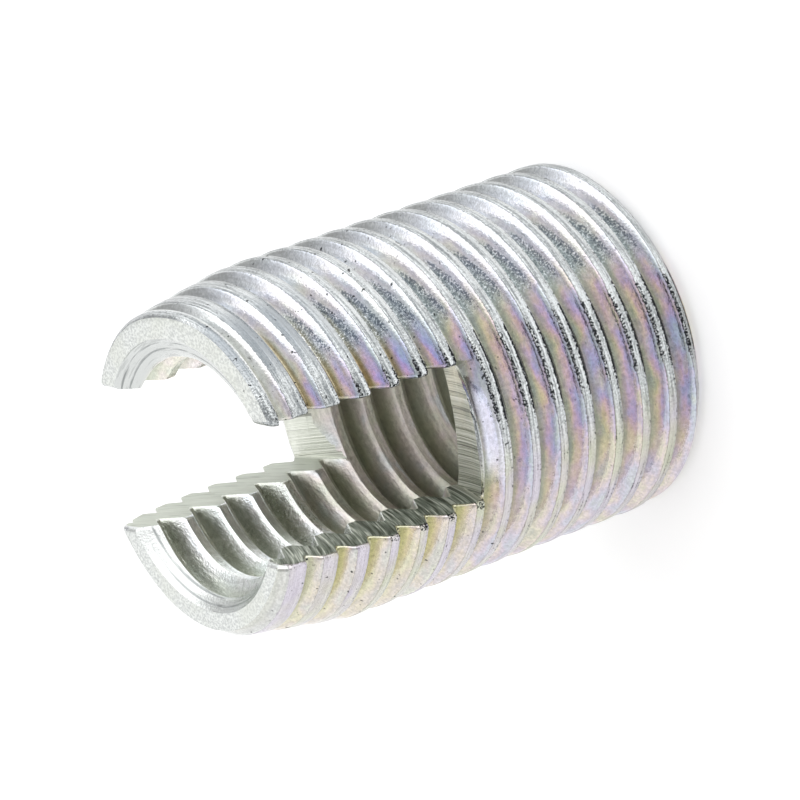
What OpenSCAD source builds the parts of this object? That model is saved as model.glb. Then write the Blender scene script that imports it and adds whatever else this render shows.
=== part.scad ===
// Self-tapping threaded insert: a turned steel sleeve that cuts its own way into
// a drilled hole and then takes a metric bolt. The flat plain end stands on the
// ground, the slotted tapered end that goes in first points up. Millimetres.

/* [Body] */
// Length from the flat trailing face to the slotted leading face
body_length = 22; // [20:0.5:30]
// Outer diameter over the ridges of the outside thread
body_d = 16; // [15.5:0.1:18]
// Chamfer around the trailing face, along the axis and across it alike
tail_chamfer = 0.55; // [0.2:0.05:0.8]

/* [Outside thread] */
// Advance of the outside thread in one turn
ridge_pitch = 1.5; // [1.4:0.05:1.6]
// Width of the flat left on top of each ridge
ridge_land = 0.48; // [0.4:0.02:0.6]
// Angle between a ridge flank and a plane square to the axis, in degrees
ridge_flank = 30; // [28:1:34]
// Height above the trailing face of one ridge top, over the +X side
ridge_height = 0.43; // [0:0.01:1.4]

/* [Bolt thread] */
// Nominal diameter of the bolt that the insert takes
bolt_d = 12; // [11:0.25:12.25]
// Advance of the bolt thread in one turn
bolt_pitch = 1.75; // [1.5:0.25:1.75]
// Room between the bolt's crests and the bottom of the thread groove, on the radius
bolt_room = 0.05; // [0:0.01:0.1]
// Height above the trailing face of one groove bottom, over the +X side
groove_height = 0.41; // [0:0.01:1.7]

/* [Leading end] */
// Length of the taper that trims the first ridges
lead_length = 5.2; // [3:0.1:7]
// Diameter of the tapered ridges where they meet the rounded edge of the leading face
lead_d = 14.4; // [13.9:0.1:15.2]
// How far the valleys between the ridges have stepped inwards at the leading face
lead_valley = 0.5; // [0:0.05:0.5]
// Length over which they do so
lead_valley_length = 4.4; // [3:0.1:6]
// Radius of the rounded outer edge of the leading face
lead_round = 0.4; // [0.2:0.05:0.6]

/* [Mouths] */
// Diameter of the countersink where it breaks the leading and trailing faces
mouth_d = 12.1; // [12:0.1:12.6]
// Full angle of the countersinks, in degrees
mouth_angle = 90; // [90:5:120]

/* [Cutting slot] */
// Width of the slot milled straight across the leading end
slot_w = 6; // [4.5:0.25:7]
// Depth of the slot below the leading face, on the axis where it is deepest
slot_depth = 11.1; // [9:0.1:13]
// Diameter of the disc cutter that leaves the floor of the slot hollow
cutter_d = 44; // [38:1:60]

/* [Hidden] */
$fn = 96;
color_steel = [0.78, 0.79, 0.78];
// How far a cutting shape runs past the surface that it cuts
past = 1;
body_r = body_d / 2;
lead_r = lead_d / 2;
lead_flat_r = lead_r - lead_round;
lead_round_z = body_length - lead_round;
mouth_r = mouth_d / 2;
cutter_r = cutter_d / 2;
slot_floor = body_length - slot_depth;
// Step inwards of the valleys where the ridges' own solid ends, past the leading face
narrow = lead_valley * (1 + past / lead_valley_length);
// Depth of the sharp valleys between the ridges
ridge_deep = (ridge_pitch - ridge_land) / 2 / tan(ridge_flank);
valley_r = body_r - ridge_deep;
// ISO metric profile of the bolt thread: flanks 30 degrees from square, a bore land
// a quarter of the pitch wide and a groove five sixteenths of the flank height deep
bolt_flank = 30;
bore_r = bolt_d / 2 - 5 / 16 * bolt_pitch / tan(bolt_flank);
bore_land = bolt_pitch / 4;
groove_r = bolt_d / 2 + bolt_room;
// Width of the groove at its bottom, then at the radius where its cutting shape
// ends, which lies inside the bore
groove_bottom = bolt_pitch - bore_land - 2 * (groove_r - bore_r) * tan(bolt_flank);
groove_inner = bore_r - bolt_pitch / 8;
groove_open = groove_bottom + 2 * (groove_r - groove_inner) * tan(bolt_flank);
// Steps around one turn of each helix
ridge_steps = 48;
groove_steps = 40;

// Radius and height of the points of one ridge: a valley, then the apex that the
// turned outline of the sleeve trims to a land
ridge_rows = [
    [valley_r, -ridge_pitch / 2],
    [valley_r + ridge_pitch / 2 / tan(ridge_flank), 0]
];
// Radius and height of the points of one groove of the bolt thread
groove_rows = [
    [groove_inner, -groove_open / 2],
    [groove_r, -groove_bottom / 2],
    [groove_r, groove_bottom / 2],
    [groove_inner, groove_open / 2]
];

// Right-hand helical surface about the axis between the heights z0 and z1. The rows
// repeat every pitch, the first of them measured from the height start over +X, and
// each of the steps around the axis has one column of points. The rows step inwards
// by narrow in all, evenly from the height narrow_z up to z1. Past the two ends the
// points close on flat lids of radius lid_r
module helix(rows, pitch, start, steps, lid_r, z0, z1, narrow = 0, narrow_z = 0) {
    first = floor((z0 - start) / pitch) - 1;
    turns = ceil((z1 - z0) / pitch) + 3;
    levels = turns * len(rows);
    points = [
        for (s = [0:steps])
            for (n = [0:levels - 1])
                let (
                    row = rows[n % len(rows)],
                    climb = first + floor(n / len(rows)) + s / steps,
                    z = start + climb * pitch + row[1],
                    inwards = narrow * max(0, (z - narrow_z) / (z1 - narrow_z)),
                    r = z <= z0 || z >= z1 ? lid_r : row[0] - inwards,
                    turn = 360 * s / steps
                )
                [r * cos(turn), r * sin(turn), max(z0, min(z1, z))]
    ];
    walls = [
        for (s = [0:steps - 1])
            for (n = [0:levels - 2])
                let (a = s * levels + n, b = a + levels)
                each [[a, a + 1, b], [b, a + 1, b + 1]]
    ];
    low = [for (s = [0:steps - 1]) s * levels];
    high = [for (s = [steps - 1:-1:0]) s * levels + levels - 1];
    polyhedron(points, concat(walls, [low, high]), convexity = 10);
}

// Turned outline of the sleeve: tail chamfer, straight part, taper, rounded edge
module outline() {
    rotate_extrude() {
        polygon([
            [0, 0],
            [body_r - tail_chamfer, 0],
            [body_r, tail_chamfer],
            [body_r, body_length - lead_length],
            [lead_r, lead_round_z],
            [lead_flat_r, lead_round_z],
            [lead_flat_r, body_length],
            [0, body_length]
        ]);
        translate([lead_flat_r, lead_round_z])
            circle(r = lead_round);
    }
}

// Countersink at the trailing face, opening downwards
module mouth() {
    mouth_slope = tan(mouth_angle / 2);
    translate([0, 0, -past])
        cylinder(
            r1 = mouth_r + past * mouth_slope, r2 = bore_r,
            h = past + (mouth_r - bore_r) / mouth_slope
        );
}

// The ridged sleeve, bored, threaded inside, countersunk and slotted
module insert_body() {
    color(color_steel)
    difference() {
        intersection() {
            outline();
            helix(
                ridge_rows, ridge_pitch, ridge_height, ridge_steps, valley_r - narrow,
                -past, body_length + past, narrow, body_length - lead_valley_length
            );
        }
        translate([0, 0, -past])
            cylinder(r = bore_r, h = body_length + 2 * past);
        helix(
            groove_rows, bolt_pitch, groove_height, groove_steps, groove_inner,
            -past, body_length + past
        );
        mouth();
        translate([0, 0, body_length])
            mirror([0, 0, 1])
                mouth();
        translate([0, 0, slot_floor + cutter_r])
            rotate([90, 0, 0])
                cylinder(r = cutter_r, h = slot_w, center = true, $fn = 4 * $fn);
    }
}

insert_body();
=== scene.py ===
import math

import bmesh
import bpy
import numpy as np
from mathutils import Matrix, Vector


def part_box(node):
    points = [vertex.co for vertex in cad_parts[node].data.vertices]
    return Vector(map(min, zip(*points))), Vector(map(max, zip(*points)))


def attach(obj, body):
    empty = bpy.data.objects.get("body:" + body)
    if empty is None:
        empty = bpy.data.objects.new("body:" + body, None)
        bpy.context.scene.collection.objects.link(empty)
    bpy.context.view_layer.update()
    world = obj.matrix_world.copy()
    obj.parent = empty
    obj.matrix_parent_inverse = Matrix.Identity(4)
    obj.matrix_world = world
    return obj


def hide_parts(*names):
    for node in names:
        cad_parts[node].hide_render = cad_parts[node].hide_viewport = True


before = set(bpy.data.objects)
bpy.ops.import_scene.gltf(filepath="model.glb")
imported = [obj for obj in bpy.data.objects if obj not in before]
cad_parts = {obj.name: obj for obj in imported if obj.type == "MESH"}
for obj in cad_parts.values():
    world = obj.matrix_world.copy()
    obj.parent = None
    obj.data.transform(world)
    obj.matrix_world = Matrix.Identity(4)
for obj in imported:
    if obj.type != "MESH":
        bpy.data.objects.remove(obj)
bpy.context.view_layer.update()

# Object: a slotted threaded insert standing on its trailing face, axis along +Z,
# slot along X. Lengths below are millimetres; MM turns them into metres.
MM = 0.001
_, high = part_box("insert_body")
BODY_LENGTH = high.z / MM
BODY_R = high.x / MM
TAIL_CHAMFER = 0.55

# Outside thread
RIDGE_PITCH = 1.5
RIDGE_LAND = 0.48
RIDGE_START = 0.43
RIDGE_TAN = math.tan(math.radians(30))
VALLEY_R = BODY_R - (RIDGE_PITCH - RIDGE_LAND) / 2 / RIDGE_TAN
# Width of the rounding of a ridge's leading and trailing corner, and of its root
CREST_SOFT = (0.20, 0.08)
ROOT_SOFT = 0.05

# Bolt thread
BOLT_PITCH = 1.75
BOLT_R = 6.0
BORE_R = BOLT_R - 5 / 16 * BOLT_PITCH / RIDGE_TAN
BORE_LAND = BOLT_PITCH / 4
GROOVE_R = BOLT_R + 0.05
GROOVE_START = 0.41
GROOVE_BOTTOM = BOLT_PITCH - BORE_LAND - 2 * (GROOVE_R - BORE_R) * RIDGE_TAN
BORE_SOFT = 0.06

# Leading end and mouths
LEAD_LENGTH = 5.2
LEAD_R = 7.2
LEAD_ROUND = 0.4
ROUND_Z = BODY_LENGTH - LEAD_ROUND
# Depth by which the valleys between the ridges follow the taper, and over what length
LEAD_VALLEY = 0.5
LEAD_VALLEY_LENGTH = 4.4
MOUTH_R = 6.05

# Cutting slot, milled by a disc cutter
SLOT_HALF = 3.0
SLOT_FLOOR = BODY_LENGTH - 11.1
CUTTER_R = 22.0
CUTTER_Z = SLOT_FLOOR + CUTTER_R
# Rounding of the slot's outer edges, on the +X side and on the -X side
EDGE_ROUND = (0.3, 0.1)
# Rounding of its edges in the bore, and of the leading face on the +Y and -Y leaf
BORE_EDGE_ROUND = 0.12
FACE_ROUND = (0.4, 0.3)

# Passes that settle the mesh's points on the helices
PASSES = 6
CAP_PASSES = 5
# Rows of the rounded edge, of the leading face and of the trailing face
CAP_STEPS = 10
FACE_STEPS = 8
TAIL_STEPS = 5
# Sides of the cutter, and the closest that two points of the sleeve's mesh come
CUTTER_SIDES = 360
MERGE = 0.002
COLLAPSE = 0.0001
# Edges sharper than this many degrees stay sharp in the shading
SHARP = 38
# Radius that parts the outside from the bore
WALL_R = 6.6
# How close a face lies to a surface that it counts as part of
SNAP = 0.01


def smooth_min(a, b, width):
    """The lower of two values, with the corner between them rounded off."""
    h = np.maximum(width - np.abs(a - b), 0) / width
    return np.minimum(a, b) - h * h * width / 4


def envelope(z):
    """Radius of the turned outline at a height."""
    chamfer = BODY_R - np.maximum(TAIL_CHAMFER - z, 0)
    taper = BODY_R - (BODY_R - LEAD_R) * np.clip(
        (z - (BODY_LENGTH - LEAD_LENGTH)) / (LEAD_LENGTH - LEAD_ROUND), 0, 1
    )
    rise = np.clip(z - ROUND_Z, 0, LEAD_ROUND)
    rounding = LEAD_R - LEAD_ROUND + np.sqrt(LEAD_ROUND**2 - rise**2)
    return np.minimum(chamfer, np.where(z > ROUND_Z, rounding, taper))


def valley(z):
    """Radius of the valleys between the ridges at a height."""
    start = BODY_LENGTH - LEAD_VALLEY_LENGTH
    return VALLEY_R - LEAD_VALLEY * np.clip((z - start) / LEAD_VALLEY_LENGTH, 0, 1)


def slot_distance(y, z, x):
    """Distance from the space that the cutter sweeps, zero inside it."""
    side = np.maximum(np.abs(y) - SLOT_HALF, 0)
    under = np.maximum(np.hypot(x, z - CUTTER_Z) - CUTTER_R, 0)
    return np.hypot(side, under)


def edge_drop(distance, radius):
    """How far a surface falls away near a rounded edge."""
    inside = np.clip(radius - distance, 0, radius)
    return radius - np.sqrt(np.maximum(radius**2 - inside**2, 0))


def outer_radius(theta, x, y, z):
    """Radius of the ridged outside."""
    turn = theta / (2 * math.pi)
    phase = (z - RIDGE_START) / RIDGE_PITCH - turn
    off = (phase - np.round(phase)) * RIDGE_PITCH
    room = np.sqrt((RIDGE_PITCH / 2 - np.abs(off)) ** 2 + ROOT_SOFT**2)
    ridge = valley(z) + (room - ROOT_SOFT / 2) / RIDGE_TAN
    soft = np.where(off > 0, *CREST_SOFT)
    r = smooth_min(ridge, envelope(z), soft)
    rounding = EDGE_ROUND[0] + (EDGE_ROUND[1] - EDGE_ROUND[0]) / (1 + np.exp(x))
    return r - edge_drop(slot_distance(y, z, x), rounding)


def inner_radius(theta, x, y, z):
    """Radius of the threaded bore with its two countersunk mouths."""
    turn = theta / (2 * math.pi)
    phase = (z - GROOVE_START) / BOLT_PITCH - turn
    off = np.abs(phase - np.round(phase)) * BOLT_PITCH
    flank = GROOVE_R - (off - GROOVE_BOTTOM / 2) / RIDGE_TAN
    r = smooth_min(flank, np.full_like(flank, GROOVE_R), BORE_SOFT)
    r = -smooth_min(-r, np.full_like(r, -BORE_R), BORE_SOFT)
    cone = np.maximum(MOUTH_R - z, MOUTH_R - (BODY_LENGTH - z))
    r = np.maximum(r, cone)
    return r + edge_drop(slot_distance(y, z, x), BORE_EDGE_ROUND)


# Columns of the mesh around the axis. In each quarter the first ones keep a fixed
# y across the slot and beside it, so that they lie along its edges at any radius;
# the rest share out the angle up to the middle of the leaf.
ACROSS = [0, 0.5, 1.0, 1.5, 2.0, 2.4, 2.7, 2.9]
BESIDE = [0, 0.012, 0.04, 0.08, 0.13, 0.2, 0.3, 0.42, 0.6]
FAN = 24
FAN_Y = SLOT_HALF + BESIDE[-1]


def quarter():
    """(kind, value) of a quarter's columns: a fixed y, or a share of the fan."""
    cols = [("y", v) for v in ACROSS]
    cols += [("y", SLOT_HALF + v) for v in BESIDE]
    cols += [("f", (i + 1) / FAN) for i in range(FAN)]
    return cols


def all_columns():
    """(kind, value, quarter) of every column, in the order of their angle."""
    cols = []
    q = quarter()
    cols += [(k, v, 0) for k, v in q]
    cols += [(k, v, 1) for k, v in q[-2::-1]]
    cols += [(k, v, 2) for k, v in q[1:]]
    cols += [(k, v, 3) for k, v in q[-2::-1]]
    return cols


COLS = all_columns()
IS_Y = np.array([c[0] == "y" for c in COLS])[:, None]
VALUE = np.array([c[1] for c in COLS])[:, None]
QUARTER = np.array([c[2] for c in COLS])[:, None]


def place(r):
    """theta, x, y of every column's points at the radii r, one row of r a column."""
    y = np.where(IS_Y, VALUE, 0.0)
    straight = np.arcsin(np.clip(y / r, -1, 1))
    first = np.arcsin(np.clip(FAN_Y / r, -1, 1))
    fanned = first + np.where(IS_Y, 0.0, VALUE) * (math.pi / 2 - first)
    a = np.where(IS_Y, straight, fanned)
    theta = np.select(
        [QUARTER == 0, QUARTER == 1, QUARTER == 2],
        [a, math.pi - a, math.pi + a],
        2 * math.pi - a,
    )
    x = r * np.cos(theta)
    y = np.where(IS_Y, np.where(QUARTER < 2, y, -y), r * np.sin(theta))
    return theta, x, y


def corner_drop(y):
    """How far the leading face falls away beside the slot, leaf by leaf."""
    d = np.maximum(np.abs(y) - SLOT_HALF, 0)
    return edge_drop(d, np.where(y > 0, *FACE_ROUND))


# Rows of the mesh from one root up to the land, and which share of its stretch of the
# ridge each lies at; the same ones follow in turn down to the next root
MARKS = [
    ("root", 0.0), ("root", 0.25), ("root", 0.55), ("flank", 0.0), ("flank", 0.33),
    ("flank", 0.67), ("edge", 1.0), ("edge", 0.6), ("edge", 0.2), ("edge", -0.2),
    ("edge", -0.6), ("edge", -1.0), ("land", 0.0),
]


def ridge_offsets(z, kind, share, sign):
    """Distance of each row from the middle of its ridge, along the axis."""
    half = RIDGE_PITCH / 2
    at = np.clip(z, 0, BODY_LENGTH)
    edge = half - (envelope(at) - valley(at)) * RIDGE_TAN
    edge = np.clip(edge, 0.05, half - 0.03)
    soft = np.where(sign > 0, *CREST_SOFT) * RIDGE_TAN
    soft = np.minimum(soft, (half - edge) / 2.5)
    root = np.minimum(0.12, (half - edge) / 3)
    return np.select(
        [kind == "root", kind == "flank", kind == "edge"],
        [
            half - share * root,
            half - root - share * (half - root - edge - soft),
            edge + share * soft,
        ],
        share * (edge - soft),
    )


def outer_rows():
    """Heights of the outside rows at every column, and the radii there."""
    first = math.floor((0 - RIDGE_START) / RIDGE_PITCH) - 1
    count = math.ceil(BODY_LENGTH / RIDGE_PITCH) + 3
    ks = first + np.arange(count)
    sides = [(-1, m) for m in MARKS] + [(1, m) for m in MARKS[-2:0:-1]]
    k_row = np.repeat(ks, len(sides))[None, :]
    sign = np.tile([s for s, _ in sides], len(ks))[None, :]
    kind = np.tile([m[0] for _, m in sides], len(ks))[None, :]
    share = np.tile([m[1] for _, m in sides], len(ks))[None, :]
    r = np.full((len(COLS), len(ks) * len(sides)), BODY_R)
    z = np.zeros_like(r)
    for _ in range(PASSES):
        theta, x, y = place(r)
        centre = RIDGE_START + RIDGE_PITCH * (k_row + theta / (2 * math.pi))
        z = centre + sign * ridge_offsets(z, kind, share, sign)
        zc = np.clip(z, 0, ROUND_Z - corner_drop(y))
        r = outer_radius(theta, x, y, zc)
    return zc, r


def cap_rows():
    """The rounded edge of the leading face, above the helical rows."""
    zs, rs = [], []
    for i in range(1, CAP_STEPS + 1):
        nominal = BODY_LENGTH - LEAD_ROUND * (1 - math.sin(math.pi / 2 * i / CAP_STEPS))
        r = np.full((len(COLS), 1), LEAD_R)
        for _ in range(CAP_PASSES):
            theta, x, y = place(r)
            z = nominal - corner_drop(y)
            r = outer_radius(theta, x, y, nominal)
        zs.append(z)
        rs.append(r)
    return np.concatenate(zs, 1), np.concatenate(rs, 1)


def inner_rows():
    """Heights of the bore's rows at every column, and the radii there."""
    half = BOLT_PITCH / 2
    first = math.floor((0 - GROOVE_START) / BOLT_PITCH) - 1
    count = math.ceil(BODY_LENGTH / BOLT_PITCH) + 3
    ks = first + np.arange(count)
    g = GROOVE_BOTTOM / 2
    crest = half - BORE_LAND / 2
    offs = [
        0, g, g + 0.035, g + 0.1, g + 0.24,
        (g + crest) / 2, crest - 0.14, crest - 0.035, crest + 0.03, half,
    ]
    offs = [-v for v in offs[:0:-1]] + offs[:-1]
    k_row = np.repeat(ks, len(offs))[None, :]
    off = np.tile(offs, len(ks))[None, :]
    r = np.full((len(COLS), len(ks) * len(offs)), BORE_R)
    for _ in range(PASSES):
        theta, x, y = place(r)
        z = GROOVE_START + BOLT_PITCH * (k_row + theta / (2 * math.pi)) + off
        zc = np.clip(z, 0, BODY_LENGTH - corner_drop(y))
        r = inner_radius(theta, x, y, zc)
    return zc, r


def across(start, end, steps):
    """Radii of the rows between two columns of radii, both ends left out."""
    return np.concatenate([start + (end - start) * i / steps for i in range(1, steps)], 1)


def sleeve_points():
    """Radii and heights of every column's points, once around the wall's section."""
    zo, ro = outer_rows()
    zcap, rcap = cap_rows()
    zi, ri = inner_rows()
    face_r = across(rcap[:, -1:], ri[:, -1:], FACE_STEPS)
    _, _, y = place(face_r)
    face_z = BODY_LENGTH - corner_drop(y)
    tail_r = across(ri[:, :1], ro[:, :1], TAIL_STEPS)
    r = np.concatenate([ro, rcap, face_r, ri[:, ::-1], tail_r], 1)
    z = np.concatenate([zo, zcap, face_z, zi[:, ::-1], np.zeros_like(tail_r)], 1)
    return r, z


def add_object(name, data):
    """A new object of a mesh or camera, in the scene."""
    ob = bpy.data.objects.new(name, data)
    bpy.context.scene.collection.objects.link(ob)
    return ob


def build_sleeve():
    """The ridged and threaded sleeve before its slot is cut."""
    r, z = sleeve_points()
    _, x, y = place(r)
    columns, rows = z.shape
    points = np.stack([x, y, z], 2).reshape(-1, 3) * MM
    index = np.arange(columns * rows).reshape(columns, rows)
    a, b = index[:-1], index[1:]
    faces = np.stack([a, b, np.roll(b, -1, 1), np.roll(a, -1, 1)], 2).reshape(-1, 4)
    mesh = bpy.data.meshes.new("insert_sleeve")
    mesh.from_pydata(points.tolist(), [], faces.tolist())
    bm = bmesh.new()
    bm.from_mesh(mesh)
    bmesh.ops.remove_doubles(bm, verts=bm.verts, dist=MERGE * MM)
    bmesh.ops.dissolve_degenerate(bm, dist=COLLAPSE * MM, edges=bm.edges)
    bmesh.ops.recalc_face_normals(bm, faces=bm.faces)
    bm.to_mesh(mesh)
    bm.free()
    return add_object("insert_sleeve", mesh)


def build_cutter():
    """The space that the disc cutter sweeps, as a thick disc."""
    bm = bmesh.new()
    rings = []
    for side in (-1, 1):
        ring = []
        for i in range(CUTTER_SIDES):
            turn = 2 * math.pi * i / CUTTER_SIDES
            x = CUTTER_R * math.sin(turn)
            z = CUTTER_Z - CUTTER_R * math.cos(turn)
            ring.append(bm.verts.new((x * MM, side * SLOT_HALF * MM, z * MM)))
        rings.append(ring)
    for i in range(CUTTER_SIDES):
        j = (i + 1) % CUTTER_SIDES
        bm.faces.new((rings[0][i], rings[0][j], rings[1][j], rings[1][i]))
    bm.faces.new(rings[0])
    bm.faces.new(rings[1][::-1])
    bmesh.ops.recalc_face_normals(bm, faces=bm.faces)
    mesh = bpy.data.meshes.new("cutter")
    bm.to_mesh(mesh)
    bm.free()
    return add_object("cutter", mesh)


def mill_slot(sleeve):
    """Cuts the slot out of the sleeve, and returns the sleeve's new mesh."""
    cutter = build_cutter()
    cut = sleeve.modifiers.new("slot", "BOOLEAN")
    cut.operation = "DIFFERENCE"
    cut.solver = "MANIFOLD"
    cut.object = cutter
    graph = bpy.context.evaluated_depsgraph_get()
    mesh = bpy.data.meshes.new_from_object(sleeve.evaluated_get(graph))
    sleeve.modifiers.clear()
    sleeve.data = mesh
    bpy.data.objects.remove(cutter)
    return mesh


def ease(t):
    """0 below 0, 1 above 1, smooth between."""
    t = np.clip(t, 0, 1)
    return t * t * (3 - 2 * t)


def settle(mesh):
    """Small departures of this sleeve from the drawn form."""
    co = np.empty(len(mesh.vertices) * 3)
    mesh.vertices.foreach_get("co", co)
    co = co.reshape(-1, 3) / MM
    x, y, z = co.T
    r = np.hypot(x, y)
    floor_z = CUTTER_Z - np.sqrt(np.maximum(CUTTER_R**2 - x**2, 0))
    leaf = ease((z - floor_z) / 1.2) * (np.abs(y) > SLOT_HALF - 0.02)
    beside = leaf * np.exp(-np.maximum(np.abs(y) - SLOT_HALF, 0) / 0.6)
    upper = leaf * (y > 0)
    lower = leaf * (y < 0)
    near = ease((x + 1) / 5)
    far = ease(0.5 - x / 2)
    # One leaf is a little shorter than the other, and bent out on its near side
    short = 0.24 + 0.22 * ease((x + 2) / 8)
    bent = 0.2 * near * ease((z - 19.5) / 2) * upper
    foot = -0.12 * near * ease((z - 20) / 1.2)
    # The other one is a little thicker on its far side, and the slot opens outwards
    thick = 0.35 * ease((-x - 3) / 4) * np.clip((r - 5.4) / 1.6, 0, 1) * lower
    thick *= ease((BODY_LENGTH - z) / 2)
    opens = -(0.045 + 0.025 * far) * np.maximum(r - 5.2, 0)
    co[:, 0] += bent * x / r - thick
    co[:, 1] += bent * y / r * (1 - beside)
    co[:, 1] += beside * np.where(y > 0, 0.15 * far + foot, opens)
    co[:, 2] -= upper * short * ease((z - 20.9) / 1.1)
    mesh.vertices.foreach_set("co", (co * MM).ravel())
    mesh.update()


def finish_shading(mesh):
    """Smooth shading, but for the sharp edges."""
    mesh.polygons.foreach_set("use_smooth", [True] * len(mesh.polygons))
    bm = bmesh.new()
    bm.from_mesh(mesh)
    for e in bm.edges:
        e.smooth = len(e.link_faces) == 2 and e.calc_face_angle(0) < math.radians(SHARP)
    bm.to_mesh(mesh)
    bm.free()


class Graph:
    """Short names for the nodes of one material or world."""

    def __init__(self, owner):
        owner.use_nodes = True
        self.tree = owner.node_tree
        self.nodes = self.tree.nodes
        self.links = self.tree.links

    def put(self, socket, value):
        """Links an output to the socket, or sets the socket's own value."""
        if isinstance(value, bpy.types.NodeSocket):
            self.links.new(value, socket)
        else:
            socket.default_value = value

    def math(self, kind, a, b=0.0, c=0.0, clamp=False):
        """One sum on numbers."""
        n = self.nodes.new("ShaderNodeMath")
        n.operation = kind
        n.use_clamp = clamp
        for i, v in enumerate((a, b, c)):
            self.put(n.inputs[i], v)
        return n.outputs[0]

    def vmath(self, kind, a, b=(0, 0, 0)):
        """One sum on vectors."""
        n = self.nodes.new("ShaderNodeVectorMath")
        n.operation = kind
        self.put(n.inputs[0], a)
        self.put(n.inputs[1], b)
        return n.outputs["Value"] if kind == "DOT_PRODUCT" else n.outputs[0]

    def span(self, value, a, b, low=0.0, high=1.0, smooth=True):
        """low where value is a or beyond, high where it is b or beyond."""
        n = self.nodes.new("ShaderNodeMapRange")
        n.interpolation_type = "SMOOTHSTEP" if smooth else "LINEAR"
        n.clamp = True
        for i, v in enumerate((value, a, b, low, high)):
            self.put(n.inputs[i], v)
        return n.outputs[0]

    def mix(self, share, a, b, kind="MIX"):
        """Colour a, turned into b, or blended with b by its kind, as share goes to 1."""
        n = self.nodes.new("ShaderNodeMix")
        n.data_type = "RGBA"
        n.blend_type = kind
        n.clamp_factor = True
        self.put(n.inputs[0], share)
        self.put(n.inputs[6], a)
        self.put(n.inputs[7], b)
        return n.outputs[2]

    def ramp(self, value, stops):
        """A colour picked along the stops by the value."""
        n = self.nodes.new("ShaderNodeValToRGB")
        self.put(n.inputs[0], value)
        e = n.color_ramp.elements
        while len(e) < len(stops):
            e.new(0.5)
        for i, (at, colour) in enumerate(stops):
            e[i].position = at
            e[i].color = (*colour, 1)
        return n.outputs[0]

    def shade(self, value):
        """A grey of the value, which may be above 1."""
        n = self.nodes.new("ShaderNodeCombineXYZ")
        for i in range(3):
            self.put(n.inputs[i], value)
        return n.outputs[0]

    def noise(self, vector, scale=1.0, detail=2.0, rough=0.5, twist=0.0):
        """Cloudy noise about 0.5."""
        n = self.nodes.new("ShaderNodeTexNoise")
        self.put(n.inputs["Vector"], vector)
        n.inputs["Scale"].default_value = scale
        n.inputs["Detail"].default_value = detail
        n.inputs["Roughness"].default_value = rough
        n.inputs["Distortion"].default_value = twist
        return n.outputs["Fac"]

    def stretch(self, vector, sx, sy, sz):
        """The vector with each part multiplied by its own factor."""
        return self.vmath("MULTIPLY", vector, (sx, sy, sz))

    def split(self, vector):
        """The three parts of a vector."""
        n = self.nodes.new("ShaderNodeSeparateXYZ")
        self.put(n.inputs[0], vector)
        return n.outputs[0], n.outputs[1], n.outputs[2]

    def bump(self, height, reach):
        """A normal tilted by relief that is reach millimetres deep."""
        n = self.nodes.new("ShaderNodeBump")
        n.inputs["Strength"].default_value = 1
        n.inputs["Distance"].default_value = reach * MM
        self.put(n.inputs["Height"], height)
        return n.outputs[0]

    def cover(self, shader, share, colour):
        """A dull diffuse colour over the shader where share is 1: smears on the slot's sides,
        painted shade and dark marks along the ridges.
        """
        dirt_and_shade = self.nodes.new("ShaderNodeBsdfDiffuse")
        self.put(dirt_and_shade.inputs["Color"], colour)
        n = self.nodes.new("ShaderNodeMixShader")
        self.put(n.inputs[0], share)
        self.put(n.inputs[1], shader.outputs[0])
        self.put(n.inputs[2], dirt_and_shade.outputs[0])
        self.put(self.nodes["Material Output"].inputs["Surface"], n.outputs[0])


def metal_material(name):
    """A new metal, its graph, its shader and the place of a point in millimetres."""
    m = bpy.data.materials.new(name)
    g = Graph(m)
    shader = g.nodes["Principled BSDF"]
    shader.inputs["Metallic"].default_value = 1
    spot = g.nodes.new("ShaderNodeTexCoord").outputs["Object"]
    return m, g, shader, g.stretch(spot, 1 / MM, 1 / MM, 1 / MM)


# Colours of the film on the flanks, from a thin one to a thick one
FILM = [
    (0.00, (0.52, 0.55, 0.53)),
    (0.12, (0.57, 0.58, 0.49)),
    (0.25, (0.70, 0.66, 0.52)),
    (0.36, (0.69, 0.59, 0.58)),
    (0.48, (0.62, 0.545, 0.67)),
    (0.59, (0.54, 0.555, 0.69)),
    (0.72, (0.56, 0.615, 0.66)),
    (0.86, (0.64, 0.67, 0.64)),
    (1.00, (0.69, 0.67, 0.57)),
]


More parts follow.
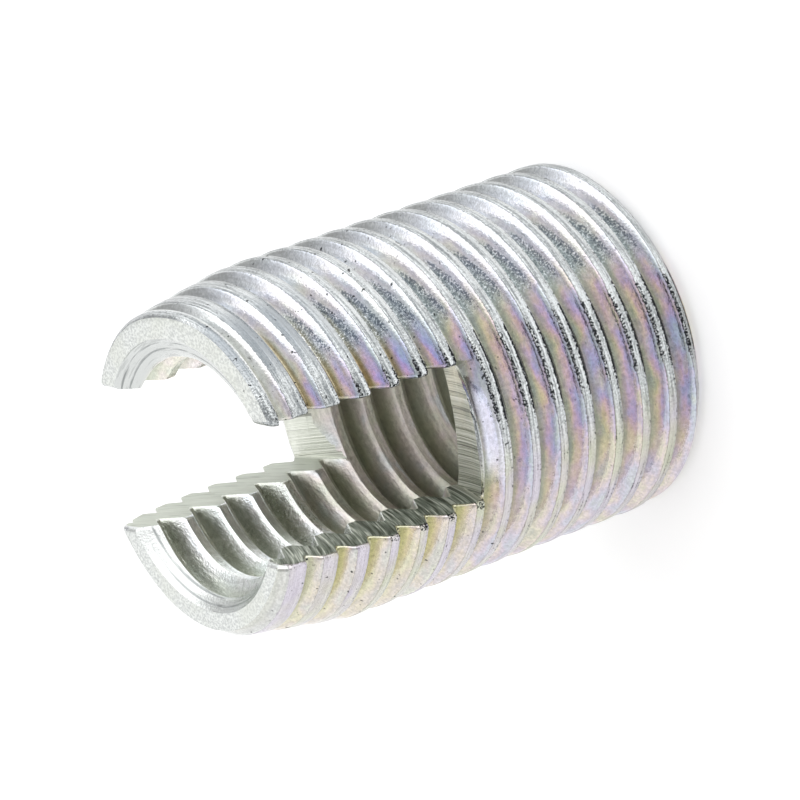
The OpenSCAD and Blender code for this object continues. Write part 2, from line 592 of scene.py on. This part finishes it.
class Ridges:
    """Where a point lies on the ridges, and the fine patterns that it takes there."""

    def __init__(self, g, p):
        self.g = g
        x, y, z = g.split(p)
        self.y = y
        self.z = z
        self.turn = g.math("DIVIDE", g.math("ARCTAN2", y, x), 2 * math.pi)
        self.aside = g.math("ABSOLUTE", self.turn)
        # 1 in front, 0 at the back, where the turn jumps from one half to minus one half
        self.facing = g.span(self.aside, 0.46, 0.32)
        lift = g.math("DIVIDE", g.math("SUBTRACT", z, RIDGE_START), RIDGE_PITCH)
        part = g.math("FRACT", g.math("ADD", g.math("SUBTRACT", lift, self.turn), 0.5))
        # Distance along the axis from the middle of the land, plus towards the lead
        self.along = g.math("MULTIPLY_ADD", part, RIDGE_PITCH, -RIDGE_PITCH / 2)
        taper = g.span(z, BODY_LENGTH - LEAD_LENGTH, ROUND_Z, 0, 1, smooth=False)
        self.edge = g.math("MULTIPLY_ADD", taper, 0.19, 0.24)
        beside = g.math("ABSOLUTE", self.along)
        self.past = g.math("SUBTRACT", beside, self.edge)
        self.climb = g.span(beside, RIDGE_PITCH / 2, self.edge, smooth=False)
        self.p = p
        self.grain = g.noise(g.stretch(p, 11, 11, 11), detail=2, rough=0.6)
        self.pits = g.noise(g.stretch(p, 5, 5, 7), detail=2, rough=0.6)
        self.lines = self.swept(0.5, 11, 2)
        self.streak = self.swept(0.6, 2.4, 3)
        self.patch = g.noise(g.stretch(p, 0.3, 0.3, 0.45), detail=2, twist=0.3)

    def swept(self, around, across, detail):
        """Noise drawn out along the ridges."""
        g = self.g
        n = g.nodes.new("ShaderNodeCombineXYZ")
        x, y, z = g.split(g.stretch(self.p, around, around, around))
        g.put(n.inputs[0], x)
        g.put(n.inputs[1], y)
        g.put(n.inputs[2], g.math("MULTIPLY_ADD", self.along, across, z))
        return g.noise(n.outputs[0], detail=detail, rough=0.6)

    def between(self, low, high, soft):
        """1 where the turn lies between two angles in degrees, 0 outside."""
        g = self.g
        rise = g.span(self.turn, (low - soft) / 360, (low + soft) / 360)
        fall = g.span(self.turn, (high + soft) / 360, (high - soft) / 360)
        return g.math("MULTIPLY", rise, fall)

    def specks(self, share):
        """Fine specks that cover more the nearer share is to 1."""
        g = self.g
        value = g.math("MULTIPLY_ADD", g.math("SUBTRACT", 0.5, self.grain), 1.8, share)
        return g.span(value, 0.50, 0.62)

    def bell(self, centre, half):
        """1 on a line that runs along the ridges, 0 at half to either side."""
        g = self.g
        off = g.math("ABSOLUTE", g.math("SUBTRACT", self.along, centre))
        return g.span(off, half, half * 0.35)


def film_colour(r):
    """Iridescent film of the flanks, thicker towards the crest, with painted shade at their foot.
    """
    g = r.g
    film = g.math("MULTIPLY_ADD", r.climb, 0.42, 0.17)
    film = g.math("MULTIPLY_ADD", g.math("SUBTRACT", r.streak, 0.5), 1.0, film)
    film = g.math("MULTIPLY_ADD", g.math("SUBTRACT", r.patch, 0.5), 1.1, film)
    low = g.math("MULTIPLY", g.span(r.turn, -0.03, -0.09), r.facing)
    film = g.math("MULTIPLY", film, g.span(low, 0, 1, 1, 0.8, smooth=False))
    film = g.math("PINGPONG", g.math("ABSOLUTE", film), 1.0)
    colour = g.ramp(film, FILM)
    colour = g.mix(g.math("MULTIPLY", low, 0.3), colour, (0.74, 0.71, 0.65, 1))
    pale = g.math("MULTIPLY", g.span(r.turn, 0.08, 0.13, 0, 0.7), r.facing)
    colour = g.mix(pale, colour, (0.66, 0.675, 0.68, 1))
    colour = around_slot(r, root_shade(r, colour), low)
    colour = vivid_colour(r, outlying_colour(r, colour))
    mottle = g.math("MULTIPLY_ADD", r.pits, 0.4, g.math("MULTIPLY", r.lines, 0.3))
    mottle = g.math("MULTIPLY_ADD", r.grain, 0.3, mottle)
    return g.mix(1.0, colour, g.shade(g.span(mottle, 0.36, 0.64, 0.86, 1.12)), "MULTIPLY")


def root_shade(r, colour):
    """Painted shade at the foot of the flanks, stronger in front."""
    g = r.g
    foot = g.span(r.climb, 0.56, 0.18)
    root = g.math("MULTIPLY", foot, g.span(r.aside, 0.14, 0.175, 0.65, 0.15))
    return g.mix(root, colour, (0.42, 0.45, 0.43, 1))


def around_slot(r, colour, low):
    """Tints of the film near the slot: bare just below its floor, straw and olive on
    the -Y leaf, gilt at the foot of the flanks on the other."""
    g = r.g
    bare = g.math("MULTIPLY", r.between(-17, 13, 6), g.span(r.z, 10.5, 10.8))
    above = g.math("MULTIPLY", g.span(r.z, 12.4, 12.0), g.span(r.climb, 0.1, 0.35))
    bare = g.math("MULTIPLY", bare, above)
    colour = g.mix(g.math("MULTIPLY", bare, 0.85), colour, (0.85, 0.86, 0.92, 1))
    straw = g.math("MULTIPLY", low, g.span(r.z, 11, 14, 0, 0.35))
    colour = g.mix(straw, colour, (0.86, 0.83, 0.56, 1))
    olive = g.math("MULTIPLY", low, g.span(r.z, 9, 13, 0, 0.7))
    olive = g.math("MULTIPLY", g.span(r.climb, 0.7, 0.3), olive)
    colour = g.mix(olive, colour, (0.60, 0.58, 0.36, 1))
    gilt = g.math("MULTIPLY", r.between(18, 58, 6), g.span(r.z, 13, 16, 0, 0.7))
    gilt = g.math("MULTIPLY", gilt, g.span(r.climb, 0.42, 0.2))
    return g.mix(gilt, colour, (0.44, 0.37, 0.22, 1))


def outlying_colour(r, colour):
    """Bluish film on the +Y side, plain grey film behind and at the leading tip."""
    g = r.g
    top = g.math("MULTIPLY", r.between(76, 120, 8), 0.7)
    colour = g.mix(top, colour, (0.59, 0.63, 0.69, 1))
    away = g.span(r.aside, 0.23, 0.29, 0, 0.75)
    colour = g.mix(away, colour, (0.62, 0.64, 0.62, 1))
    return g.mix(g.span(r.z, 20.0, 21.0, 0, 0.8), colour, (0.68, 0.70, 0.69, 1))


def vivid_colour(r, colour):
    """Stronger tints beside the slot."""
    g = r.g
    strong = g.math("MULTIPLY", r.between(14, 44, 5), g.span(r.z, 11.5, 12.5, 0, 0.4))
    strong = g.math("MULTIPLY", strong, g.span(r.z, 18, 16))
    squared = g.mix(1.0, colour, colour, "MULTIPLY")
    vivid = g.mix(1.0, squared, (1.5, 1.5, 1.5, 1), "MULTIPLY")
    return g.mix(strong, colour, vivid)


def painted_dark_reflection(r, colour):
    """Painted dark reflection in the grooves of the +Y side, speckled, with painted glints."""
    g = r.g
    limit = g.span(r.turn, 42 / 360, 66 / 360, 0.80, 0.40, smooth=False)
    zone = g.span(g.math("SUBTRACT", r.climb, limit), 0.06, -0.10)
    zone = g.math("MULTIPLY", zone, g.math("MULTIPLY", r.between(39, 65, 5), g.span(r.z, 19, 17.5)))
    share = g.span(g.math("SUBTRACT", r.climb, limit), -0.42, -0.08, 0.34, 0.62)
    colour = g.mix(g.math("MULTIPLY", zone, 0.45), colour, (0.42, 0.48, 0.51, 1))
    dark = r.specks(g.math("MULTIPLY", zone, share))
    colour = g.mix(g.math("MULTIPLY", dark, 0.75), colour, (0.13, 0.16, 0.20, 1))
    # White specks: painted glints
    painted_glints = g.math("MULTIPLY", g.span(r.grain, 0.56, 0.62), zone)
    return g.mix(painted_glints, colour, (0.9, 0.92, 0.94, 1))


def land_colour(r):
    """Pale plate, drawn out in fine light and dark lines and specks, with painted sheen and painted
    shade on the +Y side.
    """
    g = r.g
    fine = g.math("MULTIPLY_ADD", r.grain, 0.4, g.math("MULTIPLY", r.lines, 0.6))
    colour = g.ramp(fine, [
        (0.40, (0.26, 0.28, 0.29)),
        (0.49, (0.49, 0.515, 0.52)),
        (0.60, (0.76, 0.79, 0.80)),
    ])
    # Painted sheen: lands lighter towards their trailing side between 42 and 78 degrees
    back = g.math("MULTIPLY", r.between(42, 78, 6), r.bell(-0.12, 0.15))
    colour = g.mix(g.math("MULTIPLY", back, 0.7), colour, (0.78, 0.80, 0.80, 1))
    # Painted shade: lands darker between 80 and 130 degrees
    colour = g.mix(r.between(80, 130, 6), colour, g.shade(0.82), "MULTIPLY")
    tinted = g.ramp(r.patch, [
        (0.38, (0.57, 0.58, 0.42)),
        (0.48, (0.61, 0.57, 0.50)),
        (0.60, (0.61, 0.55, 0.64)),
    ])
    low = g.math("MULTIPLY", g.span(r.turn, 0.0, -0.06, 0, 0.7), r.facing)
    colour = g.mix(low, colour, tinted)
    # Painted dark reflection: lands darker on the +Y side towards the lead
    dull = g.math("MULTIPLY", g.span(r.z, 15, 19), r.between(42, 70, 10))
    return g.mix(g.math("MULTIPLY", dull, 0.75), colour, (0.27, 0.30, 0.33, 1))


def trailing_corner_shade(r, front):
    """Painted shade: a dark line along the trailing corner of the lands, faint around the slot."""
    g = r.g
    corner = g.math("ADD", r.along, r.edge)
    trail = g.math("MULTIPLY", g.span(corner, 0.22, 0.05), g.span(corner, -0.10, -0.03))
    trail = g.math("MULTIPLY", trail, g.math("MULTIPLY_ADD", front, 0.50, 0.40))
    trail = g.math("MULTIPLY", trail, g.span(r.z, 12, 18, 0.95, 0.5))
    # Where the painted shade line fades: beside the slot, in front
    fainter = g.math("MULTIPLY_ADD", r.between(-14, 3, 3), 0.5, r.between(-14, 22, 3))
    fainter = g.math("MULTIPLY", fainter, g.span(r.z, 11.5, 11.8))
    return g.math("MULTIPLY", trail, g.span(fainter, 0, 1.5, 1, 0.15, smooth=False))


def leading_dark_reflection(r, front):
    """Painted dark reflection: a broken dark line along the leading corner of the lands, in front.
    """
    g = r.g
    lead = g.math("MULTIPLY", r.bell(0.19, 0.14), g.math("MULTIPLY", front, 0.57))
    return g.math("MULTIPLY", lead, g.span(r.z, 19.5, 17, 0, 1))


def nicks(r, land):
    """Dark specks on the lands where the slot cuts them."""
    g = r.g
    off = g.math("ABSOLUTE", r.y)
    near = g.math("ADD", off, g.span(r.y, 0, -1, 0, -0.2))
    nick = g.span(near, SLOT_HALF + 0.45, SLOT_HALF + 0.1, 0, 0.55)
    nick = g.math("MULTIPLY", nick, g.span(off, SLOT_HALF - 0.15, SLOT_HALF - 0.05))
    nick = g.math("MULTIPLY", nick, g.math("MULTIPLY", land, g.span(r.z, 11.5, 12)))
    return g.math("MULTIPLY", nick, g.span(r.z, 18, 16.5, 0.2, 1))


def dashes(r, land):
    """Short dark lines on the lands below the slot."""
    g = r.g
    dash = g.math("MULTIPLY", land, g.span(r.z, 11, 9))
    dash = g.math("MULTIPLY", r.between(-48, 8, 8), dash)
    return g.math("MULTIPLY", dash, g.span(r.lines, 0.40, 0.33, 0, 0.52))


def ridges_relief(r, land):
    """Roughness and relief of the outside, both stronger on the lands."""
    g = r.g
    rough = g.span(land, 0, 1, 0.10, 0.18, smooth=False)
    rough = g.math("MULTIPLY_ADD", g.math("SUBTRACT", r.pits, 0.5), 0.2, rough, clamp=True)
    height = g.math("MULTIPLY", r.lines, g.span(land, 0, 1, 0.03, 0.5))
    height = g.math("MULTIPLY_ADD", r.grain, g.span(land, 0, 1, 0.10, 0.4), height)
    height = g.math("MULTIPLY_ADD", r.pits, g.span(land, 0, 1, 0.10, 0.5), height)
    return rough, g.bump(height, 0.07)


def ridges_material():
    """Outside: mottled iridescent flanks and pale, scratched, pitted lands, with painted shade and
    painted reflections along the corners and in the grooves.
    """
    m, g, shader, p = metal_material("plated_ridges")
    r = Ridges(g, p)
    front = r.between(1, 30, 4)
    # The film reaches over the worn leading corner, except on the front
    ragged = g.math("MULTIPLY_ADD", r.grain, 0.10, g.span(front, 0, 1, 0.0, -0.05))
    ragged = g.math("ADD", ragged, g.span(r.along, 0.05, 0, 0, -0.05))
    land = g.span(g.math("ADD", r.past, ragged), 0.02, -0.02)
    colour = g.mix(land, painted_dark_reflection(r, film_colour(r)), land_colour(r))
    g.put(shader.inputs["Base Color"], colour)
    rough, normal = ridges_relief(r, land)
    g.put(shader.inputs["Roughness"], rough)
    g.put(shader.inputs["Normal"], normal)

    # Corner lines: painted shade and painted dark reflection; the nicks, dashes and dots are the
    # plate's own marks
    corner_shade = g.math("MAXIMUM", trailing_corner_shade(r, front), leading_dark_reflection(r, front))
    spots = g.math("MAXIMUM", nicks(r, land), dashes(r, land))
    dark = r.specks(g.math("MAXIMUM", corner_shade, spots))
    dots = g.noise(g.stretch(p, 4.2, 4.2, 4.2), detail=1)
    dots = g.math("MULTIPLY", g.span(dots, 0.27, 0.25), g.span(r.z, 8, 12, 0.3, 0.9))
    g.cover(shader, g.math("MAXIMUM", dark, dots), (0.02, 0.022, 0.025, 1))
    return m


def bore_material():
    """Inside thread: the same plate, crisp near the lead and duller further in, with painted shade
    in the grooves.
    """
    m, g, shader, p = metal_material("plated_bore")
    x, y, z = g.split(p)
    turn = g.math("DIVIDE", g.math("ARCTAN2", y, x), 2 * math.pi)
    q = g.math("SUBTRACT", g.math("DIVIDE", g.math("SUBTRACT", z, GROOVE_START), BOLT_PITCH), turn)
    part = g.math("SUBTRACT", g.math("FRACT", g.math("ADD", q, 0.5)), 0.5)
    deep = g.span(g.math("ABSOLUTE", part), 0.32, 0.14)
    open_end = g.span(z, 12, 17)
    grain = g.noise(g.stretch(p, 11, 11, 11), detail=2, rough=0.6)
    pits = g.noise(g.stretch(p, 4, 4, 7), detail=3, rough=0.65)
    lines = g.noise(g.stretch(p, 0.4, 0.4, 9), detail=3, rough=0.7)
    tint = g.noise(g.stretch(p, 0.4, 0.4, 1.0), detail=2, twist=0.3)
    colour = g.ramp(tint, [
        (0.36, (0.80, 0.83, 0.74)),
        (0.46, (0.88, 0.86, 0.76)),
        (0.56, (0.94, 0.86, 0.84)),
        (0.66, (0.85, 0.87, 0.90)),
    ])
    lower = g.math("MULTIPLY", open_end, g.span(y, 0, -1, 0, 0.7))
    colour = g.mix(lower, colour, (0.86, 0.90, 0.93, 1))
    shade = g.math("MULTIPLY_ADD", lines, 0.5, g.math("MULTIPLY", pits, 0.5))
    colour = g.mix(1.0, colour, g.shade(g.span(shade, 0.38, 0.60, 0.82, 1.10)), "MULTIPLY")
    # Groove bottoms darker and more olive: painted shade
    colour = g.mix(g.math("MULTIPLY", deep, 0.55), colour, (0.50, 0.53, 0.42, 1))
    g.put(shader.inputs["Base Color"], mouth_colour(g, p, colour, lines))
    dull = g.span(open_end, 0, 1, 0.24, 0.09, smooth=False)
    g.put(shader.inputs["Roughness"], g.math("MULTIPLY_ADD", pits, 0.25, dull))
    height = g.math("MULTIPLY_ADD", pits, 0.5, g.math("MULTIPLY", grain, 0.4))
    height = g.math("MULTIPLY_ADD", lines, 0.4, height)
    g.put(shader.inputs["Normal"], g.bump(height, 0.04))
    return m


def mouth_colour(g, p, colour, lines):
    """Turned countersink at the lead, with two fine grooves around it."""
    x, y, z = g.split(p)
    r = g.math("SQRT", g.math("MULTIPLY_ADD", x, x, g.math("MULTIPLY", y, y)))
    outer = g.span(g.math("ABSOLUTE", g.math("SUBTRACT", r, 5.82)), 0.05, 0.015)
    inner = g.span(g.math("ABSOLUTE", g.math("SUBTRACT", r, 5.52)), 0.06, 0.02)
    turned = g.math("MULTIPLY", g.math("MAXIMUM", outer, inner), g.span(lines, 0.64, 0.44))
    rim = g.mix(g.span(lines, 0.46, 0.38, 0, 0.5), (0.70, 0.72, 0.71, 1), (0.46, 0.48, 0.47, 1))
    rim = g.mix(g.math("MULTIPLY", turned, 0.75), rim, (0.24, 0.26, 0.26, 1))
    return g.mix(g.span(z, BODY_LENGTH - 1.2, BODY_LENGTH - 0.9), colour, rim)


def milled_colour(g, marks, deep, far, warm):
    """Bright plate, streaked along the cutter's marks."""
    colour = g.ramp(marks, [
        (0.36, (0.30, 0.32, 0.26)),
        (0.44, (0.58, 0.60, 0.52)),
        (0.54, (0.76, 0.78, 0.70)),
        (0.64, (1.0, 1.0, 0.95)),
    ])
    colour = g.mix(warm, colour, (0.90, 0.84, 0.70, 1))
    colour = g.mix(far, colour, (0.78, 0.80, 0.73, 1))
    scratch = g.math("MULTIPLY", g.span(deep, 0.38, 0.34), 0.6)
    return g.mix(scratch, colour, (0.12, 0.12, 0.10, 1))


def smeared_colour(g, marks, far):
    """Dull dark smears of the slot's sides, paler on the far half."""
    smeared = g.ramp(marks, [
        (0.38, (0.03, 0.04, 0.03)),
        (0.46, (0.09, 0.12, 0.10)),
        (0.57, (0.17, 0.21, 0.17)),
        (0.64, (0.62, 0.66, 0.58)),
    ])
    return g.mix(far, smeared, (0.50, 0.54, 0.47, 1))


def slot_material():
    """Slot: milled faces whose marks run around the axis of the disc cutter."""
    m, g, shader, p = metal_material("milled_slot")
    x, y, z = g.split(p)
    up = g.math("SUBTRACT", CUTTER_Z, z)
    spoke = g.math("SQRT", g.math("MULTIPLY_ADD", x, x, g.math("MULTIPLY", up, up)))
    arc = g.math("MULTIPLY", g.math("ARCTAN2", x, up), CUTTER_R)
    way = g.nodes.new("ShaderNodeCombineXYZ")
    # On the floor the marks run a little askew
    askew = g.span(spoke, CUTTER_R - 0.3, CUTTER_R - 0.05, 0, -0.12)
    for i, value in enumerate((spoke, g.math("MULTIPLY_ADD", arc, askew, y), arc)):
        g.put(way.inputs[i], value)
    marks = g.noise(g.stretch(way.outputs[0], 13, 13, 0.05), detail=2, rough=0.6)
    deep = g.noise(g.stretch(way.outputs[0], 8, 7, 0.04), detail=1)
    grain = g.noise(g.stretch(p, 9, 9, 9), detail=2, rough=0.6)
    cloud = g.span(g.noise(p, scale=0.6, detail=2), 0.35, 0.62, 0.2, 0.7)
    warm = g.math("MULTIPLY", g.span(y, -1.5, 2.5, 0.1, 1), cloud)
    far = g.span(x, 2.5, -1.5, 0, 0.85)
    g.put(shader.inputs["Base Color"], milled_colour(g, marks, deep, far, warm))
    g.put(shader.inputs["Roughness"], g.math("MULTIPLY_ADD", grain, 0.2, 0.30))
    height = g.math("MULTIPLY_ADD", marks, 1.0, g.math("MULTIPLY", grain, 0.3))
    g.put(shader.inputs["Normal"], g.bump(height, 0.05))
    sides = g.span(spoke, CUTTER_R - 0.05, CUTTER_R - 0.4, 0, 0.6)
    g.cover(shader, sides, smeared_colour(g, marks, far))
    return m


def face_material():
    """End faces: matt, granular plate with a few dark pits."""
    m, g, shader, p = metal_material("plated_face")
    grain = g.noise(g.stretch(p, 8, 8, 8), detail=3, rough=0.7)
    pits = g.noise(g.stretch(p, 2.6, 2.6, 2.6), detail=3, rough=0.6)
    cloud = g.noise(p, scale=0.5, detail=2)
    colour = g.mix(g.span(grain, 0.40, 0.60), (0.56, 0.58, 0.57, 1), (0.84, 0.86, 0.84, 1))
    colour = g.mix(g.span(cloud, 0.4, 0.7, 0, 0.35), colour, (0.70, 0.72, 0.64, 1))
    colour = g.mix(g.span(pits, 0.29, 0.26, 0, 0.8), colour, (0.12, 0.13, 0.12, 1))
    g.put(shader.inputs["Base Color"], colour)
    g.put(shader.inputs["Roughness"], g.math("MULTIPLY_ADD", grain, 0.2, 0.32))
    height = g.math("MULTIPLY_ADD", pits, 0.7, grain)
    g.put(shader.inputs["Normal"], g.bump(height, 0.04))
    return m


def paint(mesh):
    """Gives every face its material by where it lies and which way it faces."""
    mesh.materials.clear()
    for make in (ridges_material, bore_material, slot_material, face_material):
        mesh.materials.append(make())
    n = len(mesh.polygons)
    centre = np.empty(n * 3)
    normal = np.empty(n * 3)
    mesh.polygons.foreach_get("center", centre)
    mesh.polygons.foreach_get("normal", normal)
    centre = centre.reshape(-1, 3) / MM
    normal = normal.reshape(-1, 3)
    r = np.hypot(centre[:, 0], centre[:, 1])
    z = centre[:, 2]
    milled = np.hypot(centre[:, 0], z - CUTTER_Z) < CUTTER_R + SNAP
    milled &= np.abs(centre[:, 1]) < SLOT_HALF + SNAP
    level = np.abs(normal[:, 2]) > 0.9
    end = level & ((z > BODY_LENGTH - 1) | (z < SNAP))
    kind = np.where(r > WALL_R, 0, 1)
    kind = np.where(end, 3, kind)
    kind = np.where(milled, 2, kind)
    mesh.polygons.foreach_set("material_index", kind.astype(np.int32))
    mesh.update()


sleeve = build_sleeve()
body = mill_slot(sleeve)
paint(body)
settle(body)
finish_shading(body)

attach(sleeve, "root")
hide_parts("insert_body")

# Floor: its radius, in metres, and how far it lies below the trailing face, so that
# the two don't share a plane
FLOOR_R = 1.5
FLOOR_DROP = 0.02
# Light that the paper adds of its own
PAPER_GLOW = 0.36


def paper_material():
    """Pale paper that reads white and keeps the soft shadow: it adds its own light
    only to what looks at it straight, in a reflection or through something clear."""
    m = bpy.data.materials.new("paper")
    g = Graph(m)
    shader = g.nodes["Principled BSDF"]
    shader.inputs["Base Color"].default_value = (0.8, 0.8, 0.8, 1)
    shader.inputs["Roughness"].default_value = 0.9
    shader.inputs["Specular IOR Level"].default_value = 0.1
    rays = g.nodes.new("ShaderNodeLightPath").outputs
    seen = g.math("MAXIMUM", rays["Is Glossy Ray"], rays["Is Transmission Ray"])
    seen = g.math("MAXIMUM", rays["Is Camera Ray"], seen)
    glow = g.nodes.new("ShaderNodeEmission")
    g.put(glow.inputs["Strength"], g.math("MULTIPLY", seen, PAPER_GLOW))
    both = g.nodes.new("ShaderNodeAddShader")
    g.put(both.inputs[0], shader.outputs[0])
    g.put(both.inputs[1], glow.outputs[0])
    g.put(g.nodes["Material Output"].inputs["Surface"], both.outputs[0])
    return m


def build_floor():
    """A round sheet of the paper."""
    bm = bmesh.new()
    bmesh.ops.create_circle(bm, cap_ends=True, segments=96, radius=FLOOR_R)
    mesh = bpy.data.meshes.new("floor")
    bm.to_mesh(mesh)
    bm.free()
    mesh.materials.append(paper_material())
    return add_object("floor", mesh)


floor = build_floor()
floor.location.z = -FLOOR_DROP * MM


def aim(azimuth, zenith):
    """Unit vector towards an azimuth and an angle from straight up, in degrees."""
    a, t = math.radians(azimuth), math.radians(zenith)
    return (math.sin(t) * math.cos(a), math.sin(t) * math.sin(a), math.cos(t))


class Tent(Graph):
    """The world's light by direction, changed by one soft round patch after another."""

    def __init__(self, world, level):
        super().__init__(world)
        self.way = self.nodes.new("ShaderNodeTexCoord").outputs["Generated"]
        self.light = level

    def lobe(self, azimuth, zenith, full, none):
        """1 within full degrees of a direction, 0 beyond none degrees."""
        dot = self.vmath("DOT_PRODUCT", self.way, aim(azimuth, zenith))
        return self.span(dot, math.cos(math.radians(none)), math.cos(math.radians(full)))

    def tint(self, factor, *patch):
        """The light times the factor in the patch."""
        share = self.math("MULTIPLY_ADD", self.lobe(*patch), factor - 1, 1.0)
        self.light = self.math("MULTIPLY", self.light, share)

    def toward(self, level, *patch):
        """The light moved to the level in the patch."""
        gap = self.math("SUBTRACT", level, self.light)
        self.light = self.math("MULTIPLY_ADD", gap, self.lobe(*patch), self.light)


def build_world():
    """A white tent, brightest on the +Y side, with a dim opening on the +X side and a
    dimmer roof, which give the metal something to mirror. Each patch is its azimuth,
    its angle from straight up, and the angles within which it is full and fades out."""
    world = bpy.data.worlds.new("studio")
    bpy.context.scene.world = world
    tent = Tent(world, 1.04)
    tent.light = tent.math("MULTIPLY_ADD", tent.lobe(-29, 7, 12, 36), -0.42, tent.light)
    tent.toward(1.7, 80, 64, 27, 39)
    tent.toward(1.8, 116, 59, 27, 39)
    tent.tint(0.32, 8, 58, 8, 33)
    tent.tint(0.5, 160, 66, 12, 27)
    tent.tint(1.36, -160, 40, 17, 33)
    tent.tint(0.5, 5, 85, 9, 30)
    back = tent.nodes["Background"]
    back.inputs["Color"].default_value = (1, 1, 1, 1)
    tent.put(back.inputs["Strength"], tent.light)


build_world()

# Camera at the photograph's viewing angle: the point that it looks at, the degrees of
# its direction and roll, its distance and the length of its lens
TARGET = Vector((0.1167, 0.1089, 10.7664)) * MM
AZIMUTH, ELEVATION, ROLL = 17.861, 31.732, -109.599
DISTANCE = 239.064 * MM
LENS = 247.32
SENSOR = 36


def build_camera():
    """The camera that looks at the target."""
    data = bpy.data.cameras.new("camera")
    data.lens = LENS
    data.sensor_width = SENSOR
    data.clip_start = 0.01
    data.clip_end = 10
    toward = Vector(aim(AZIMUTH, 90 - ELEVATION))
    level = (-toward).cross(Vector((0, 0, 1))).normalized()
    roll = math.radians(ROLL)
    right = level * math.cos(roll) + level.cross(-toward) * math.sin(roll)
    up = toward.cross(right)
    eye = TARGET + toward * DISTANCE
    camera = add_object("camera", data)
    camera.matrix_world = Matrix((
        (right.x, up.x, toward.x, eye.x),
        (right.y, up.y, toward.y, eye.y),
        (right.z, up.z, toward.z, eye.z),
        (0, 0, 0, 1),
    ))
    return camera


bpy.context.scene.camera = build_camera()
bpy.context.scene.view_settings.view_transform = "Standard"
